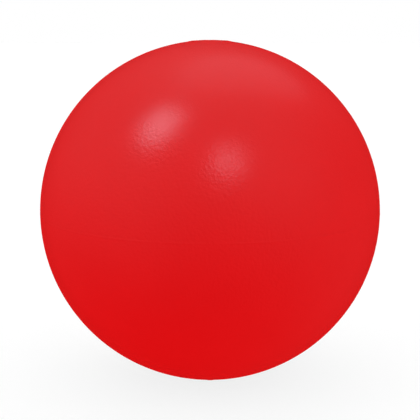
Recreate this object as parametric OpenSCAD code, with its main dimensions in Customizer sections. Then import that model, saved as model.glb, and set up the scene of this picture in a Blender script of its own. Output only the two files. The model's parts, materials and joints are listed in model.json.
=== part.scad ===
// Round stress ball of flexible polyurethane foam, moulded in one pour and lacquered red.
// Millimetres, +Z up. The origin is the middle of the small flat that the ball rests on.
// The mould parted at the ball's widest level. It was filled at the end that is now the bottom.

/* [Ball] */
// Outer diameter of the ball
ball_d = 65; // [60:1:80]
// Thickness of the rubbery lacquer coat
coat_t = 0.3; // [0.2:0.05:0.5]
// Thickness of the dense skin that the foam forms against the mould
skin_t = 1.5; // [1:0.1:2.5]

/* [Filling mark] */
// Diameter of the flat where the filling stub was cut off
flat_d = 9; // [8:0.5:12]
// Diameter of the filling stub where it breaks through the skin
stub_d = 7; // [4:0.5:7]

/* [Vents] */
// Number of vent pips in the ring round the filling mark
vent_count = 4; // [2:1:12]
// Diameter of one vent pip
vent_d = 1.2; // [0.8:0.1:2]
// Angle at the ball's centre between the lower pole and the ring of vent pips
vent_angle = 18; // [16:1:40]

/* [Parting line] */
// Height of the bead of flash along the parting line
bead_w = 0.5; // [0.3:0.1:1]
// How far the bead stands out of the ball
bead_out = 0.04; // [0.02:0.01:0.1]

/* [Hidden] */
// Segments in a full circle
$fn = 144;
ball_r = ball_d / 2;
flat_r = flat_d / 2;
// Height of the ball's centre over the flat, which is the level of the parting line too
centre_z = sqrt(ball_r * ball_r - flat_r * flat_r);
// Radius of the foam core
core_r = ball_r - coat_t - skin_t;
// Side of a cube that takes in the whole ball
reach = 2 * ball_d;

LACQUER_RED = [0.86, 0.08, 0.09];
SKIN_RED = [0.72, 0.10, 0.10];
FOAM_PINK = [0.93, 0.55, 0.52];

// Keeps what lies above a level
module above(level) {
    intersection() {
        children();
        translate([-ball_d, -ball_d, level]) cube(reach);
    }
}

// Keeps what lies below a level
module below(level) {
    intersection() {
        children();
        translate([-ball_d, -ball_d, level - reach]) cube(reach);
    }
}

// The ball at a depth under its surface, flat at the foot
module form(depth) {
    above(depth) translate([0, 0, centre_z]) sphere(r = ball_r - depth);
}

module core_form() {
    translate([0, 0, centre_z]) sphere(r = core_r);
}

module coat_shell() {
    difference() {
        form(0);
        form(coat_t);
    }
}

module skin_shell() {
    difference() {
        form(coat_t);
        core_form();
    }
}

// A rod from the foot to the ball's centre, as wide as the filling stub
module stub_rod() {
    cylinder(d = stub_d, h = centre_z);
}

// Rods from the ball's centre out through the skin, one for each vent
module vent_rods() {
    for (i = [0 : vent_count - 1])
        translate([0, 0, centre_z])
            rotate([0, 180 - vent_angle, 360 * i / vent_count])
                cylinder(d = vent_d, h = ball_r);
}

module upper_coat() {
    color(LACQUER_RED) above(centre_z + bead_w / 2) coat_shell();
}

module lower_coat() {
    color(LACQUER_RED) below(centre_z - bead_w / 2) coat_shell();
}

// Lacquered flash between the two halves of the coat
module parting_bead() {
    color(LACQUER_RED)
        translate([0, 0, centre_z - bead_w / 2])
            rotate_extrude()
                translate([ball_r - coat_t, 0]) square([coat_t + bead_out, bead_w]);
}

module upper_skin() {
    color(SKIN_RED) above(centre_z) skin_shell();
}

module lower_skin() {
    color(SKIN_RED)
        difference() {
            below(centre_z) skin_shell();
            stub_rod();
            vent_rods();
        }
}

module foam_core() {
    color(FOAM_PINK) core_form();
}

// Cut foam where the mould was filled, in the hole that it leaves in the skin
module gate_stub() {
    color(FOAM_PINK)
        intersection() {
            below(centre_z) skin_shell();
            stub_rod();
        }
}

// Foam that rose into the vents, cut flush with the skin
module vent_pips() {
    color(FOAM_PINK)
        intersection() {
            below(centre_z) skin_shell();
            vent_rods();
        }
}

upper_coat();
lower_coat();
parting_bead();
upper_skin();
lower_skin();
foam_core();
gate_stub();
vent_pips();
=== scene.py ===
"""The looks of a red foam stress ball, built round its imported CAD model.

Everything is in metres in the CAD model's frame: +Z up, the ball stands on z = 0,
and its axis is at X = Y = 0. Three pieces, one inside the other, stand for the CAD solids:
the lacquer coat, the dense skin and the foam. Noise is the same in each run.
"""

import json
import math
from types import SimpleNamespace

import bmesh
import bpy
import numpy as np
from mathutils import Matrix, Vector, noise


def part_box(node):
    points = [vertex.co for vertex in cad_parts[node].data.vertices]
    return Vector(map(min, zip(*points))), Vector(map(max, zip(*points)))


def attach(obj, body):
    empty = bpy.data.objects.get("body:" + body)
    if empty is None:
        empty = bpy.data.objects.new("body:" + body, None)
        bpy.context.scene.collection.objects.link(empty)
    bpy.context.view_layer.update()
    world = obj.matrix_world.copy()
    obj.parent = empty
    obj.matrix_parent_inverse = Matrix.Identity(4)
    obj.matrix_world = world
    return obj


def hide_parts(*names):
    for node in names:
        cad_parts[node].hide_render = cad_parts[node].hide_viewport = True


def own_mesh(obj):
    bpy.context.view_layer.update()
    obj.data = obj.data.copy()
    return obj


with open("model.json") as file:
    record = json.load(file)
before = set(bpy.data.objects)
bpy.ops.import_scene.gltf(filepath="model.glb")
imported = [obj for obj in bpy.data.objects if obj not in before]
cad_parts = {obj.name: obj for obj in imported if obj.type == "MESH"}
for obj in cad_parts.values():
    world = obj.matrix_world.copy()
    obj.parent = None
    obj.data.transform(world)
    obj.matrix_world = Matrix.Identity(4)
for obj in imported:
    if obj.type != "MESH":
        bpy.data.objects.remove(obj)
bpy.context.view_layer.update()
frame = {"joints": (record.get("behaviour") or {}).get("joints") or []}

MM = 0.001

# ---------------------------------------------------------------- relief
FOOT_EDGE = 0.10 * MM  # rounding of the edge round the flat
FORM_WAVE = (26 * MM, 0.010 * MM)  # length and height of the swells that foam leaves in a ball
PEEL_WAVE = (2.6 * MM, 0.0022 * MM)  # length and height of the lacquer's own ripple
FLASH_LEFT = (5 * MM, 0.35, 0.25)  # waves in what trimming left of the flash: length, mean, swing
HALF_STEP = 0.004 * MM  # how much wider the lower half of the mould was
VENT_R = 0.6 * MM
VENT_RISE = 0.09 * MM
VENT_DIP = 0.6  # the pimple's dip, as a share of the vent's radius and of the pimple's height
CUT_DEPTH = 0.07 * MM  # depth of the knife marks in the flat
CUT_PITCH = 0.55 * MM
CUT_WANDER = (4 * MM, 0.4 * CUT_PITCH)  # length and width of the bends in the marks
CUT_TEAR = 1.7 * MM  # size of the uneven places between the marks
CUT_FADE = 0.6 * MM  # how far in from the flat's edge the marks reach their full depth
STUB_GROOVE = (0.35 * MM, 0.06 * MM)  # half the width and the depth of the groove round the stub
BUBBLES = (2.2 * MM, 0.12 * MM)  # width and depth of the bubbles on the outside of the foam

# ---------------------------------------------------------------- meshes
VENT_COUNT = 4
COAT_COLUMNS = 320
LINING_MESH = (3.75, 96)  # degrees between rings, and columns, as in the next three
SKIN_OUTER_MESH = (2.0, 180)
SKIN_INNER_MESH = (2.5, 144)
FOAM_MESH = (1.5, 240)
STUB_SIDES = 64
PIP_SIDES = 24
LAYER_GAP = 0.01 * MM  # between one layer and the next
OVERRUN = 1 * MM  # how far a drill runs past what it cuts
WELD = 0.003 * MM  # corners closer than this become one after a cut


# ================================================================ sizes from the CAD model


def measure(frame):
    """The ball's sizes, read from the CAD nodes' boxes."""
    core_lo, core_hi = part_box("foam_core")
    bead_lo, bead_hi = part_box("parting_bead")
    stub_lo, stub_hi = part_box("gate_stub")
    centre_z = (core_lo.z + core_hi.z) / 2
    top_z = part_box("upper_coat")[1].z
    lining_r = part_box("upper_skin")[1].z - centre_z
    radius = top_z - centre_z
    vent_edge = math.asin(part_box("vent_pips")[1].x / lining_r)
    squeeze = next(j for j in frame["joints"] if j["name"] == "squeeze")
    return SimpleNamespace(
        centre_z=centre_z,
        radius=radius,
        lining_r=lining_r,
        core_r=(core_hi.z - core_lo.z) / 2,
        foot_r=math.sqrt(radius**2 - centre_z**2),
        stub_r=(stub_hi.x - stub_lo.x) / 2,
        bead_half=(bead_hi.z - bead_lo.z) / 2,
        bead_out=bead_hi.x - radius,
        vent_angle=vent_edge - VENT_R / lining_r,
        keep=1 - squeeze["range_m"][1] / top_z,
    )


# ================================================================ meshes


def spaced(zones):
    """Polar angles from the lower pole to the upper one, in radians.
    Each zone is (its end, the step in it), in degrees."""
    angles = [0.0]
    for end, step in zones:
        start = angles[-1]
        count = max(1, round((end - start) / step))
        angles += [start + (end - start) * (i + 1) / count for i in range(count)]
    return np.radians(angles)


def globe(angles, columns, place):
    """Vertices and faces of a closed skin round the axis, a ring for each angle but the two poles.
    place turns arrays of polar angle and longitude into an array of points."""
    ring = 2 * math.pi * np.arange(columns) / columns
    polar = np.repeat(angles[1:-1], columns)
    turn = np.tile(ring, len(angles) - 2)
    points = np.concatenate(
        [place(angles[:1], np.zeros(1)), place(polar, turn), place(angles[-1:], np.zeros(1))]
    )
    rings = len(angles) - 2
    last = 1 + rings * columns
    faces = []
    for j in range(columns):
        k = (j + 1) % columns
        faces.append((0, 1 + k, 1 + j))
        for i in range(rings - 1):
            a, b = 1 + i * columns, 1 + (i + 1) * columns
            faces.append((a + j, a + k, b + k, b + j))
        a = 1 + (rings - 1) * columns
        faces.append((a + j, a + k, last))
    return points, faces


def inside_out(skin):
    """The same skin facing inwards, for the inner wall of a shell."""
    points, faces = skin
    return points, [f[::-1] for f in faces]


def joined(*skins):
    """Several skins as one set of vertices and faces."""
    points, faces = [], []
    for p, f in skins:
        base = sum(len(q) for q in points)
        points.append(p)
        faces += [tuple(i + base for i in face) for face in f]
    return np.concatenate(points), faces


def new_piece(name, skin, material):
    """A smooth mesh object in the scene."""
    points, faces = skin
    mesh = bpy.data.meshes.new(name)
    mesh.from_pydata(points.tolist(), [], faces)
    mesh.validate()
    mesh.polygons.foreach_set("use_smooth", [True] * len(mesh.polygons))
    mesh.materials.append(material)
    mesh.update()
    piece = bpy.data.objects.new(name, mesh)
    bpy.context.scene.collection.objects.link(piece)
    return piece


def waves(points, length, shift):
    """Smooth noise from -1 to 1 at each point, of about this wavelength.
    Another shift gives another noise."""
    seed = Vector((shift, 2 * shift, 3 * shift))
    return np.array([noise.noise(Vector(p) / length + seed) for p in points])


def bump(distance, radius):
    """1 at no distance, falling smoothly to 0 at the radius."""
    share = np.clip(np.abs(distance) / radius, 0, 1)
    return (1 - share**2) ** 2


def on_foot(z, floor_z, rounding):
    """Heights that sink below floor_z are laid flat on it, with a rounded edge."""
    over = z - floor_z
    return floor_z + (over + np.sqrt(over**2 + rounding**2)) / 2


def ball_points(ball, radius, polar, turn):
    """Points of a sphere round the ball's centre."""
    out = np.stack([np.sin(polar) * np.cos(turn), np.sin(polar) * np.sin(turn), -np.cos(polar)], 1)
    return np.array([0, 0, ball.centre_z]) + out * np.reshape(radius, (-1, 1))


# ================================================================ the lacquer coat


def parting_relief(ball, points):
    """The trimmed flash along the parting line, which is uneven, and the step between the halves."""
    off = points[:, 2] - ball.centre_z
    length, mean, swing = FLASH_LEFT
    left = mean + swing * waves(points, length, shift=7.0)
    bead = ball.bead_out * left * bump(off, ball.bead_half)
    step = -HALF_STEP * (1 + np.tanh(off / ball.bead_half)) / 2
    return bead + step


def vent_relief(ball, points):
    """A low pimple where the lacquer covers each vent's cut stub, with a dip in its middle."""
    rise = np.zeros(len(points))
    for i in range(VENT_COUNT):
        spot = Vector((0, 0, ball.centre_z)) + vent_direction(ball, i) * ball.radius
        away = np.linalg.norm(points - np.array(spot), axis=1)
        rise += VENT_RISE * (bump(away, 1.25 * VENT_R) - VENT_DIP * bump(away, VENT_DIP * VENT_R))
    return rise


def cut_relief(ball, points):
    """How far the cut flat is above the floor: knife marks all over it, and a groove round the stub."""
    out = np.hypot(points[:, 0], points[:, 1])
    wander = CUT_WANDER[1] * waves(points, CUT_WANDER[0], shift=3.0)
    strokes = 0.5 + 0.5 * np.sin(2 * math.pi * (points[:, 1] + wander) / CUT_PITCH)
    uneven = 0.5 + 0.5 * waves(points, CUT_TEAR, shift=11.0)
    groove = STUB_GROOVE[1] * bump(out - ball.stub_r, STUB_GROOVE[0])
    within = np.clip((ball.foot_r - out) / CUT_FADE, 0, 1)
    return within * (CUT_DEPTH * (0.4 * strokes + 0.6 * uneven) + groove)


def coat_outside(ball):
    """The coat's outer skin, with finer rings at the flat, the vents and the parting line."""
    foot = math.degrees(math.asin(ball.foot_r / ball.radius))
    vent = math.degrees(ball.vent_angle)
    line = 1.3  # degrees either side of the parting line
    angles = spaced(
        [
            (foot - 1, 0.32),
            (foot + 1.4, 0.12),
            (vent - 1.5, 0.6),
            (vent + 1.5, 0.22),
            (90 - line, 1.0),
            (90 + line, 0.09),
            (180, 1.0),
        ]
    )

    def place(polar, turn):
        plain = ball_points(ball, ball.radius, polar, turn)
        relief = FORM_WAVE[1] * waves(plain, FORM_WAVE[0], shift=1.0)
        relief += PEEL_WAVE[1] * waves(plain, PEEL_WAVE[0], shift=5.0)
        relief += parting_relief(ball, plain) + vent_relief(ball, plain)
        points = ball_points(ball, ball.radius + relief, polar, turn)
        points[:, 2] = on_foot(points[:, 2], 0.0, FOOT_EDGE) + cut_relief(ball, points)
        return points

    return globe(angles, COAT_COLUMNS, place)


def plain_globe(ball, radius, floor_z, step, columns):
    """A smooth sphere round the ball's centre, laid flat where it would go below floor_z."""

    def place(polar, turn):
        points = ball_points(ball, radius, polar, turn)
        points[:, 2] = on_foot(points[:, 2], floor_z, FOOT_EDGE)
        return points

    return globe(spaced([(180, step)]), columns, place)


def make_coat(ball):
    """The closed shell of lacquer, with its outer skin and its plain lining."""
    coat_t = ball.radius - ball.lining_r
    lining = plain_globe(ball, ball.lining_r, coat_t, *LINING_MESH)
    return new_piece("lacquer_coat", joined(coat_outside(ball), inside_out(lining)), lacquer(ball))


# ================================================================ the skin and the foam


def vent_direction(ball, number):
    """The direction from the ball's centre to a vent pip."""
    turn = 2 * math.pi * number / VENT_COUNT
    slant = math.sin(ball.vent_angle)
    return Vector((slant * math.cos(turn), slant * math.sin(turn), -math.cos(ball.vent_angle)))


def rod(start, end, radius, sides):
    """Vertices and faces of a closed rod."""
    axis = (end - start).normalized()
    turn = axis.to_track_quat("Z", "Y").to_matrix()
    points = []
    for middle in (start, end):
        for i in range(sides):
            a = 2 * math.pi * i / sides
            points.append(middle + turn @ Vector((radius * math.cos(a), radius * math.sin(a), 0)))
    faces = [tuple(range(sides))[::-1], tuple(range(sides, 2 * sides))]
    for i in range(sides):
        k = (i + 1) % sides
        faces.append((i, k, sides + k, sides + i))
    return np.array([tuple(p) for p in points]), faces


def stubs(ball, inner_r, outer_r, foot_z, grow=0.0):
    """The rods of foam that go out through the skin from inner_r:
    the filling stub, down to the level foot_z, and the vent pips, out to outer_r."""
    middle = Vector((0, 0, ball.centre_z))
    top = middle - Vector((0, 0, inner_r))
    rods = [rod(top, Vector((0, 0, foot_z)), ball.stub_r + grow, STUB_SIDES)]
    for i in range(VENT_COUNT):
        out = vent_direction(ball, i)
        rods.append(rod(middle + out * inner_r, middle + out * outer_r, VENT_R + grow, PIP_SIDES))
    return joined(*rods)


def combined(piece, other, operation):
    """Cuts the other piece out of this one or adds it, and removes the other."""
    step = piece.modifiers.new(operation, "BOOLEAN")
    step.operation, step.solver, step.object = operation, "EXACT", other
    graph = bpy.context.evaluated_depsgraph_get()
    bm = bmesh.new()
    bm.from_mesh(piece.evaluated_get(graph).data)
    bmesh.ops.remove_doubles(bm, verts=bm.verts, dist=WELD)
    bmesh.ops.dissolve_degenerate(bm, edges=bm.edges, dist=WELD)
    piece.modifiers.clear()
    bm.to_mesh(piece.data)
    bm.free()
    bpy.data.objects.remove(other)
    return piece


def make_skin(ball):
    """The closed shell of dense foam, with holes for the filling stub and the vent pips."""
    material = dense_skin()
    coat_t = ball.radius - ball.lining_r
    outside = plain_globe(ball, ball.lining_r - LAYER_GAP, coat_t + LAYER_GAP, *SKIN_OUTER_MESH)
    inside = plain_globe(ball, ball.core_r + LAYER_GAP, 0.0, *SKIN_INNER_MESH)
    piece = new_piece("dense_skin", joined(outside, inside_out(inside)), material)
    drills = stubs(ball, ball.core_r - OVERRUN, ball.radius + OVERRUN, -OVERRUN, LAYER_GAP)
    return combined(piece, new_piece("drills", drills, material), "DIFFERENCE")


def make_foam(ball):
    """The foam inside the skin: a ball with the shallow bubbles of its outer cells, and its stubs."""
    material = cell_foam()
    coat_t = ball.radius - ball.lining_r

    def place(polar, turn):
        plain = ball_points(ball, ball.core_r, polar, turn)
        cells = 0.5 + 0.5 * waves(plain, BUBBLES[0], shift=2.0)
        return ball_points(ball, ball.core_r - BUBBLES[1] * cells**2, polar, turn)

    step, columns = FOAM_MESH
    piece = new_piece("foam_middle", globe(spaced([(180, step)]), columns, place), material)
    root_r = ball.core_r - OVERRUN / 2
    rods = stubs(ball, root_r, ball.lining_r - LAYER_GAP, coat_t + 2 * LAYER_GAP)
    return combined(piece, new_piece("stubs", rods, material), "UNION")


# ================================================================ materials

# Colours are linear red, green, blue and alpha.
LACQUER_DEEP = (0.693, 0.0042, 0.0055, 1)
LACQUER_PALE = (0.713, 0.0048, 0.0063, 1)
LACQUER_SPECK = (0.679, 0.0054, 0.0071, 1)
LACQUER_RUBBED = (0.72, 0.04, 0.038, 1)
# painted shade: the dark red put in the middle of each pore of the soaked foam
SOAKED_PORE_SHADE = (0.30, 0.004, 0.005, 1)
SOAKED_WALL = (0.52, 0.008, 0.010, 1)
SOAKED_BLOTCH = (0.60, 0.008, 0.010, 1)
SKIN_DEEP = (0.42, 0.010, 0.010, 1)
SKIN_PALE = (0.52, 0.018, 0.016, 1)
# painted shade: the dark colour put in the hollows of the foam's cells
FOAM_HOLLOW_SHADE = (0.42, 0.12, 0.11, 1)
FOAM_WALL = (0.84, 0.33, 0.29, 1)
FOAM_BLOTCH = (0.80, 0.28, 0.25, 1)

NOISE_SPREAD = (0.3, 0.7)  # most of what the noise texture gives lies between these
LACQUER_ROUGH = (0.235, 0.27)  # noise shows in the render if this range runs across 0.274
CUT_ROUGH = 0.35  # added where the lacquer soaked in or is rubbed
PEBBLE = (2.0, 0.046 * MM)  # grains to a millimetre, and their height
CUT_PORES = (3.0, 0.08 * MM)  # pores to a millimetre, and their depth, as in the next two
SKIN_PORES = (3.0, 0.05 * MM)
FOAM_CELLS = (1.6, 0.25 * MM)


class Nodes:
    """Builds a node tree."""

    def __init__(self, tree):
        self.tree = tree
        tree.nodes.clear()

    def add(self, kind, inputs=(), **settings):
        """A new node. An input is another node's output, which is linked to it, or a plain value."""
        node = self.tree.nodes.new(kind)
        for name, value in settings.items():
            setattr(node, name, value)
        for name, value in dict(inputs).items():
            if isinstance(value, bpy.types.NodeSocket):
                self.tree.links.new(value, node.inputs[name])
            else:
                node.inputs[name].default_value = value
        return node


def new_material(name):
    """An empty material and its nodes."""
    material = bpy.data.materials.new(name)
    material.use_nodes = True
    return material, Nodes(material.node_tree)


def millimetres(nodes):
    """The point being shaded, in millimetres in the CAD model's frame."""
    where = nodes.add("ShaderNodeTexCoord").outputs["Object"]
    return nodes.add("ShaderNodeMapping", {"Vector": where, "Scale": (1 / MM,) * 3}).outputs["Vector"]


def grain(nodes, where, per_mm, detail=2.0, rough=0.5):
    """Noise from 0 to 1, with this many features a millimetre."""
    texture = nodes.add(
        "ShaderNodeTexNoise",
        {"Vector": where, "Scale": per_mm, "Detail": detail, "Roughness": rough},
    )
    return texture.outputs["Fac"]


def maths(nodes, operation, *values):
    """One step of arithmetic on single values."""
    return nodes.add("ShaderNodeMath", enumerate(values), operation=operation).outputs[0]


def ranged(nodes, value, low, high, out_low, out_high, smooth=False):
    """The value's place between low and high, carried over to out_low and out_high."""
    node = nodes.add(
        "ShaderNodeMapRange",
        {"Value": value, "From Min": low, "From Max": high, "To Min": out_low, "To Max": out_high},
        interpolation_type="SMOOTHSTEP" if smooth else "LINEAR",
    )
    return node.outputs["Result"]


def mixed(nodes, share, a, b):
    """A colour between a and b."""
    return nodes.add("ShaderNodeMix", {0: share, 6: a, 7: b}, data_type="RGBA").outputs[2]


def vector_maths(nodes, operation, output, *values):
    """One step of arithmetic on vectors. output is "Vector" or "Value", as the step gives."""
    return nodes.add("ShaderNodeVectorMath", enumerate(values), operation=operation).outputs[output]


def height_of(nodes, where):
    """The height above the floor of the ball at rest."""
    return nodes.add("ShaderNodeSeparateXYZ", {"Vector": where}).outputs["Z"]


def pore_distance(nodes, where, per_mm):
    """How far the nearest pore's middle is, counted in pore widths of 1 / per_mm millimetres."""
    return nodes.add("ShaderNodeTexVoronoi", {"Vector": where, "Scale": per_mm}).outputs["Distance"]


def cut_foam(nodes, where, ball):
    """1 where foam was cut, on the flat and the vent pips, and 0 elsewhere. Lengths are in mm."""
    across = vector_maths(nodes, "MULTIPLY", "Vector", where, (1, 1, 0))
    out = vector_maths(nodes, "LENGTH", "Value", across)
    flat_r = ball.foot_r / MM
    flat = ranged(nodes, out, flat_r - 0.35, flat_r - 0.1, 1, 0, smooth=True)
    # the four pips lie on the X and Y axes, so one test of the distance serves them all
    folded = vector_maths(nodes, "ABSOLUTE", "Vector", across)
    sides = nodes.add("ShaderNodeSeparateXYZ", {"Vector": folded}).outputs
    far = maths(nodes, "MAXIMUM", sides["X"], sides["Y"])
    near = maths(nodes, "MINIMUM", sides["X"], sides["Y"])
    pip_out = ball.radius * math.sin(ball.vent_angle) / MM
    gap = maths(nodes, "SUBTRACT", far, pip_out)
    squares = maths(nodes, "MULTIPLY_ADD", gap, gap, maths(nodes, "MULTIPLY", near, near))
    away = maths(nodes, "SQRT", squares)
    pip_r = VENT_R / MM
    pip = ranged(nodes, away, pip_r - 0.1, pip_r + 0.2, 1, 0, smooth=True)
    # the same distances are met again on the upper half, where no foam was cut
    below = ranged(nodes, height_of(nodes, where), 3, 4, 1, 0)
    return maths(nodes, "MULTIPLY", maths(nodes, "MAXIMUM", flat, pip), below)


def soaked_colour(nodes, where, pores):
    """The darker red of lacquer that has soaked into cut foam, darker still in the middle of each pore
    as painted shade.
    """
    # painted shade: the colour darkens towards the middle of each pore
    out_of_pore_shade = ranged(nodes, pores, 0.1, 0.5, 0, 1)
    soaked = mixed(nodes, out_of_pore_shade, SOAKED_PORE_SHADE, SOAKED_WALL)
    blotch = ranged(nodes, grain(nodes, where, 0.8, 3), 0.35, 0.65, 0, 0.6)
    return mixed(nodes, blotch, soaked, SOAKED_BLOTCH)


def rubbed_share(nodes, where, cut):
    """How far the lacquer is rubbed thin, in patches just above the edge of the flat.
    Heights are in mm."""
    edge = ranged(nodes, height_of(nodes, where), 0.03, 0.22, 1, 0, smooth=True)
    patchy = ranged(nodes, grain(nodes, where, 1.7, 4), 0.4, 0.65, 0, 0.7)
    uncut = maths(nodes, "SUBTRACT", 1, cut)
    return maths(nodes, "MULTIPLY", maths(nodes, "MULTIPLY", edge, patchy), uncut)


def lacquer(ball):
    """Red satin lacquer with a fine pebble, faintly mottled.
    It is matt and pored where it soaked into cut foam, and rubbed thin round the edge of the flat."""
    material, nodes = new_material("satin_lacquer")
    where = millimetres(nodes)
    mottle = ranged(nodes, grain(nodes, where, 0.09), *NOISE_SPREAD, 0, 1)
    speck = ranged(nodes, grain(nodes, where, 1.6), *NOISE_SPREAD, 0, 0.35)
    red = mixed(nodes, mottle, LACQUER_DEEP, LACQUER_PALE)
    red = mixed(nodes, speck, red, LACQUER_SPECK)
    cut = cut_foam(nodes, where, ball)
    pores = pore_distance(nodes, where, CUT_PORES[0])
    red = mixed(nodes, cut, red, soaked_colour(nodes, where, pores))
    rubbed = rubbed_share(nodes, where, cut)
    red = mixed(nodes, rubbed, red, LACQUER_RUBBED)
    fleck = ranged(nodes, grain(nodes, where, 2.2, 3.0, 0.7), *NOISE_SPREAD, *LACQUER_ROUGH)
    rough = maths(nodes, "MULTIPLY_ADD", maths(nodes, "MAXIMUM", cut, rubbed), CUT_ROUGH, fleck)
    pebble = grain(nodes, where, PEBBLE[0], 2.0, 0.6)
    pebbled = nodes.add("ShaderNodeBump", {"Height": pebble, "Distance": PEBBLE[1]})
    pits = maths(nodes, "MULTIPLY", cut, pores)
    pitted = nodes.add(
        "ShaderNodeBump",
        {"Height": pits, "Distance": CUT_PORES[1], "Normal": pebbled.outputs["Normal"]},
    )
    shader = nodes.add(
        "ShaderNodeBsdfPrincipled",
        {
            "Base Color": red,
            "Roughness": rough,
            "IOR": 1.47,
            "Sheen Weight": 0.62,
            "Sheen Roughness": 0.6,
            "Sheen Tint": (1, 0, 0, 1),
            "Normal": pitted.outputs["Normal"],
        },
    )
    nodes.add("ShaderNodeOutputMaterial", {"Surface": shader.outputs["BSDF"]})
    return material


def dense_skin():
    """The foam's closed outer layer: red, matt, with the fine pores of dense foam."""
    material, nodes = new_material("foam_skin_red")
    where = millimetres(nodes)
    tone = mixed(nodes, grain(nodes, where, 0.4, 3), SKIN_DEEP, SKIN_PALE)
    pores = pore_distance(nodes, where, SKIN_PORES[0])
    pitted = nodes.add("ShaderNodeBump", {"Height": pores, "Distance": SKIN_PORES[1]})
    shader = nodes.add(
        "ShaderNodeBsdfPrincipled",
        {
            "Base Color": tone,
            "Roughness": ranged(nodes, pores, 0, 0.6, 0.75, 0.6),
            "Normal": pitted.outputs["Normal"],
        },
    )
    nodes.add("ShaderNodeOutputMaterial", {"Surface": shader.outputs["BSDF"]})
    return material


def cell_foam():
    """Open-cell foam: pale pink walls round little hollows, darkened with painted shade."""
    material, nodes = new_material("open_cell_foam")
    where = millimetres(nodes)
    cells = pore_distance(nodes, where, FOAM_CELLS[0])
    # painted shade: the colour darkens towards the middle of each cell
    out_of_hollow_shade = ranged(nodes, cells, 0, 0.55, 0, 1)
    tone = mixed(nodes, out_of_hollow_shade, FOAM_HOLLOW_SHADE, FOAM_WALL)
    tone = mixed(nodes, grain(nodes, where, 0.2, 3), tone, FOAM_BLOTCH)
    hollow = nodes.add("ShaderNodeBump", {"Height": cells, "Distance": FOAM_CELLS[1]})
    shader = nodes.add(
        "ShaderNodeBsdfPrincipled",
        {"Base Color": tone, "Roughness": 0.9, "Normal": hollow.outputs["Normal"]},
    )
    nodes.add("ShaderNodeOutputMaterial", {"Surface": shader.outputs["BSDF"]})
    return material


# ================================================================ the studio

CAMERA_ELEVATION = 10  # degrees
LENS = 100  # millimetres, as is the sensor's width
SENSOR = 36
FILL = 17 / 21  # the share of the view's width that the ball fills
FLOOR_SIDE = 4.0
FLOOR_GREY = 0.18
FLOOR_GLOW = 0.84

# The numbers of the softboxes and the glows were fitted to the photo's green channel by a scratch
# program, then rounded, and some were changed by hand.

# Lamps for the gloss only. Azimuth 0 is the camera's side and 90 is +X.
# name: (azimuth, elevation, distance, width, height, roll, radiance), in degrees and metres
SOFTBOXES = {
    "key": (-59, 57, 0.9, 0.41, 0.26, 90, 4.6),
    "front": (14, 40, 0.9, 0.26, 0.32, -33, 2.7),
    "back": (155, 64, 0.9, 1.0, 0.6, 57, 0.27),
}
# Pale walls and ceiling, for the gloss only. name: (azimuth, elevation, sharpness, radiance)
GLOWS = {
    "ceiling": (180, 83, 4.0, 0.65),
    "left_front": (-47, 22, 3.0, 0.52),
    "right_front": (48, 30, 2.8, 0.63),
    "left": (-97, 25, 4.4, 0.28),
    "right": (94, -24, 3.7, 0.11),
    "behind": (169, 58, 7.0, 0.10),
}
# Half the sky each, for the colour under the gloss. name: (azimuth, elevation, radiance)
DOMES = {
    "dome_front": (0, 10, 1.0),
    "dome_back": (180, -10, 1.15),
}
SOFTBOX_COLOUR = (0.62, 1.0, 1.16)
GLOW_COLOUR = (0.5, 1.0, 1.03)


def aim(azimuth, elevation):
    """The direction from the ball towards something at this azimuth and elevation, in degrees."""
    a, e = math.radians(azimuth), math.radians(elevation)
    return Vector((math.sin(a) * math.cos(e), -math.cos(a) * math.cos(e), math.sin(e)))


def make_camera(ball):
    """Looks at the ball's middle from a little above it, with the whole ball in view."""
    data = bpy.data.cameras.new("camera")
    data.lens, data.sensor_width = LENS, SENSOR
    data.clip_start, data.clip_end = 0.01, 20
    camera = bpy.data.objects.new("camera", data)
    bpy.context.scene.collection.objects.link(camera)
    half_view = math.atan(SENSOR / 2 / LENS)
    half_ball = math.atan(FILL * math.tan(half_view))
    away = aim(0, CAMERA_ELEVATION)
    camera.location = Vector((0, 0, ball.centre_z)) + away * ball.radius / math.sin(half_ball)
    camera.rotation_mode = "QUATERNION"
    camera.rotation_quaternion = (-away).to_track_quat("-Z", "Y")
    bpy.context.scene.camera = camera


def make_softbox(ball, name, azimuth, elevation, distance, width, height, roll, radiance):
    """An oval lamp that faces the ball, which the colour under the gloss doesn't see."""
    data = bpy.data.lights.new(name, "AREA")
    data.shape, data.size, data.size_y = "ELLIPSE", width, height
    area = math.pi / 4 * width * height
    data.energy = radiance * math.pi * area
    data.color = SOFTBOX_COLOUR
    light = bpy.data.objects.new(name, data)
    bpy.context.scene.collection.objects.link(light)
    away = aim(azimuth, elevation)
    turn = (-away).to_track_quat("-Z", "Y").to_matrix() @ Matrix.Rotation(math.radians(roll), 3, "Z")
    place = Vector((0, 0, ball.centre_z)) + away * distance
    light.matrix_world = Matrix.Translation(place) @ turn.to_4x4()
    light.visible_camera = False
    light.visible_diffuse = False


def make_dome(name, azimuth, elevation, radiance):
    """A sun as wide as half the sky, which the gloss doesn't show."""
    data = bpy.data.lights.new(name, "SUN")
    data.angle = math.pi
    data.energy = radiance * math.pi
    data.cycles.use_multiple_importance_sampling = False  # so that none of it reaches the gloss
    light = bpy.data.objects.new(name, data)
    bpy.context.scene.collection.objects.link(light)
    light.rotation_mode = "QUATERNION"
    light.rotation_quaternion = (-aim(azimuth, elevation)).to_track_quat("-Z", "Y")
    light.visible_camera = False
    light.visible_glossy = False


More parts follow.
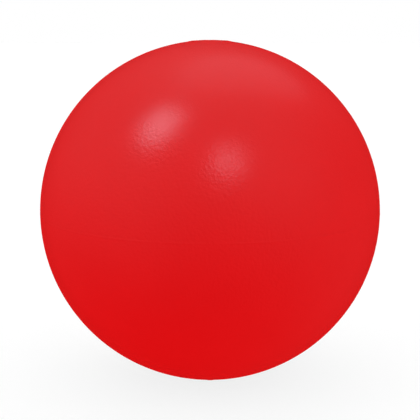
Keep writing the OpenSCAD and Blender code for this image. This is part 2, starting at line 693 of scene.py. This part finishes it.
def make_floor():
    """A pale table that glows a little, so that it stays pale under the ball."""
    bm = bmesh.new()
    bmesh.ops.create_grid(bm, x_segments=1, y_segments=1, size=FLOOR_SIDE / 2)
    mesh = bpy.data.meshes.new("floor")
    bm.to_mesh(mesh)
    bm.free()
    floor = bpy.data.objects.new("floor", mesh)
    bpy.context.scene.collection.objects.link(floor)
    material, nodes = new_material("pale_table")
    shader = nodes.add(
        "ShaderNodeBsdfPrincipled",
        {
            "Base Color": (FLOOR_GREY, FLOOR_GREY, FLOOR_GREY, 1),
            "Roughness": 0.9,
            "Specular IOR Level": 0.0,
            "Emission Color": (1, 1, 1, 1),
            "Emission Strength": FLOOR_GLOW,
        },
    )
    nodes.add("ShaderNodeOutputMaterial", {"Surface": shader.outputs["BSDF"]})
    mesh.materials.append(material)
    floor.visible_glossy = False
    floor.visible_diffuse = False
    floor.visible_shadow = False


def make_world():
    """White where the camera sees it. The gloss sees soft glows in a dark room instead."""
    world = bpy.data.worlds.new("studio")
    bpy.context.scene.world = world
    world.use_nodes = True
    world.cycles.sampling_method = "NONE"  # so that each ray meets the world that is meant for it
    world.cycles_visibility.diffuse = False
    nodes = Nodes(world.node_tree)
    where = nodes.add("ShaderNodeTexCoord").outputs["Generated"]
    room = 0.0
    for azimuth, elevation, sharpness, radiance in GLOWS.values():
        near = vector_maths(nodes, "DOT_PRODUCT", "Value", where, aim(azimuth, elevation))
        # radiance * exp(sharpness * (near - 1))
        power = maths(nodes, "MULTIPLY_ADD", near, sharpness, math.log(radiance) - sharpness)
        room = maths(nodes, "ADD", room, maths(nodes, "EXPONENT", power))
    for_gloss = nodes.add("ShaderNodeLightPath").outputs["Is Glossy Ray"]
    strength = nodes.add("ShaderNodeMix", {0: for_gloss, 2: 1.0, 3: room}).outputs[0]
    colour = mixed(nodes, for_gloss, (1, 1, 1, 1), (*GLOW_COLOUR, 1))
    light = nodes.add("ShaderNodeBackground", {"Color": colour, "Strength": strength})
    nodes.add("ShaderNodeOutputWorld", {"Surface": light.outputs["Background"]})


# ================================================================ the scene


def squeezed(piece, ball, slot, *nodes):
    """Makes a piece one layer of the ball: it rides on the lower half and stands for its CAD nodes,
    which are hidden."""
    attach(piece, "lower_half")
    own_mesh(piece)
    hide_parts(*nodes)
    piece.visible_diffuse = False  # so that the table isn't tinted


ball = measure(frame)
squeezed(make_coat(ball), ball, "lacquer", "upper_coat", "lower_coat", "parting_bead")
squeezed(make_skin(ball), ball, "foam_skin", "upper_skin", "lower_skin")
squeezed(make_foam(ball), ball, "foam", "foam_core", "gate_stub", "vent_pips")
make_camera(ball)
for softbox, setting in SOFTBOXES.items():
    make_softbox(ball, softbox, *setting)
for dome, setting in DOMES.items():
    make_dome(dome, *setting)
make_floor()
make_world()
bpy.context.scene.view_settings.view_transform = "Standard"
